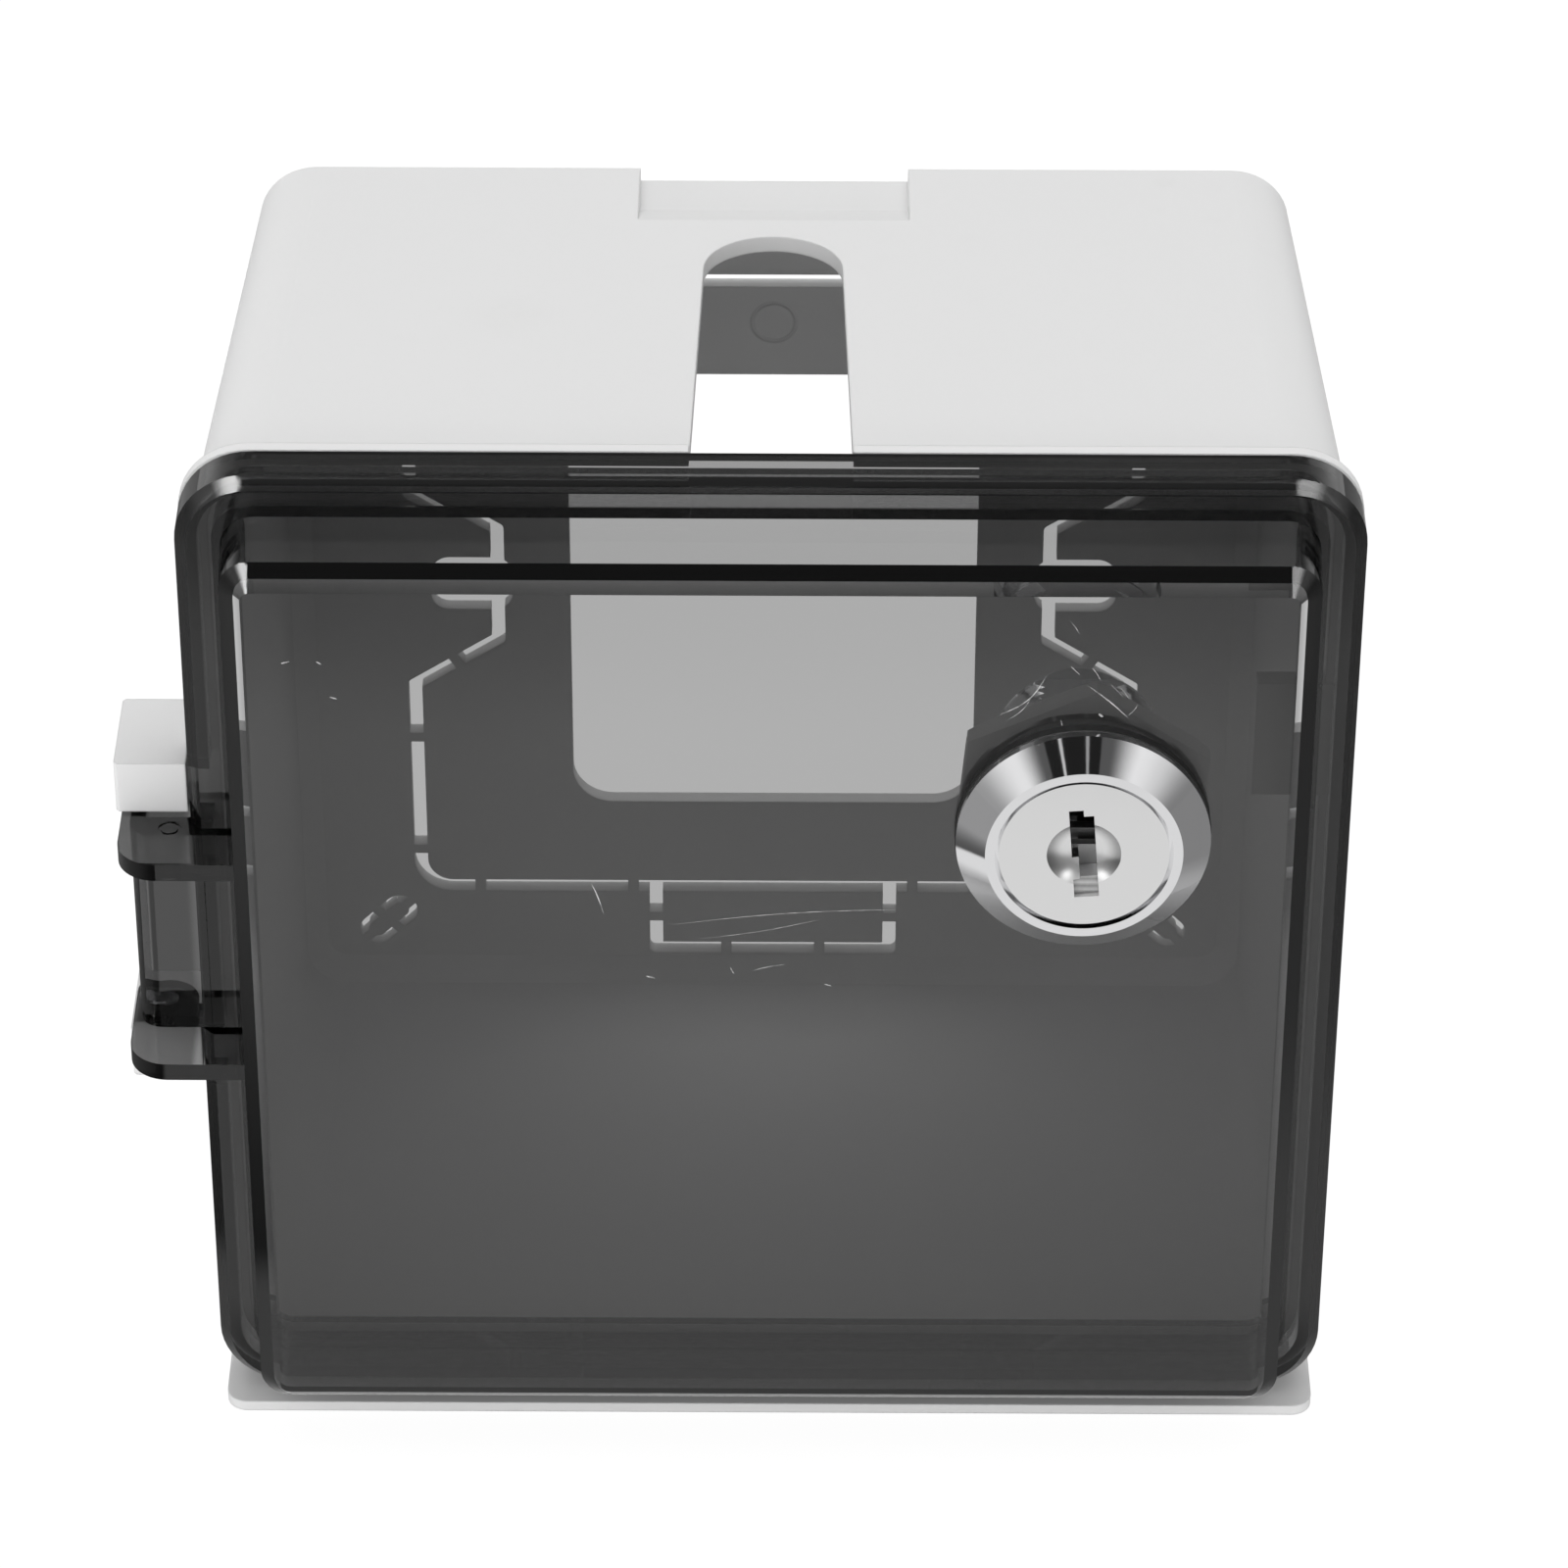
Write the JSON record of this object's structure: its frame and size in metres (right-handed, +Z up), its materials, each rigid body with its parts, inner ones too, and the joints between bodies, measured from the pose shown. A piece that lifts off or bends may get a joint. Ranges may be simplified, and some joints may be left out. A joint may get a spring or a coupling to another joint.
{
  "type": "lockable outlet cover box",
  "caption": "Square wall box that covers a power outlet: white body with cable slot and back opening, smoked hinged lid with cam lock.",
  "frame": {"origin": "middle of the underside of the sill the box stands on", "axes": "+Z up as in the picture, the lid faces -Y, the wall is at +Y, +X is the viewer's right"},
  "size_m": [0.1385, 0.0938, 0.1291],
  "materials": {
    "base_plastic": "white moulded plastic, fine satin grain",
    "lid_plastic": "smoked see-through plastic, polished",
    "rubber": "black, dull",
    "lock_chrome": "bright plated die casting",
    "nut_steel": "plated, satin",
    "plated_steel": "bright zinc plated",
    "pin_steel": "ground bright",
    "wafer_metal": "stamped, nickel plated",
    "spring_steel": "drawn wire"
  },
  "bodies": {
    "base": {"base_shell": "base_plastic", "hinge_pin_upper": "pin_steel", "hinge_pin_lower": "pin_steel"},
    "lid": {"lid_cover": "lid_plastic", "lock_rubber_ring": "rubber", "lock_housing": "lock_chrome", "lock_nut": "nut_steel"},
    "plug": {"lock_plug": "lock_chrome", "wafer_1": "wafer_metal", "wafer_2": "wafer_metal", "wafer_3": "wafer_metal", "wafer_4": "wafer_metal", "wafer_5": "wafer_metal", "wafer_6": "wafer_metal", "wafer_7": "wafer_metal", "wafer_8": "wafer_metal", "wafer_springs": "spring_steel", "stop_washer": "plated_steel", "lock_cam": "plated_steel", "cam_spring_washer": "plated_steel", "cam_screw": "plated_steel"}
  },
  "joints": [
    {"name": "lid_hinge", "type": "hinge", "parent": "base", "child": "lid", "pos_m": [-0.0693, -0.031, 0.06815], "axis": [0, 0, -1], "range_deg": [0, 115]},
    {"name": "lock_turn", "type": "hinge", "parent": "lid", "child": "plug", "pos_m": [0.0344, -0.04885, 0.09105], "axis": [0, -1, 0], "range_deg": [0, 90]}
  ]
}
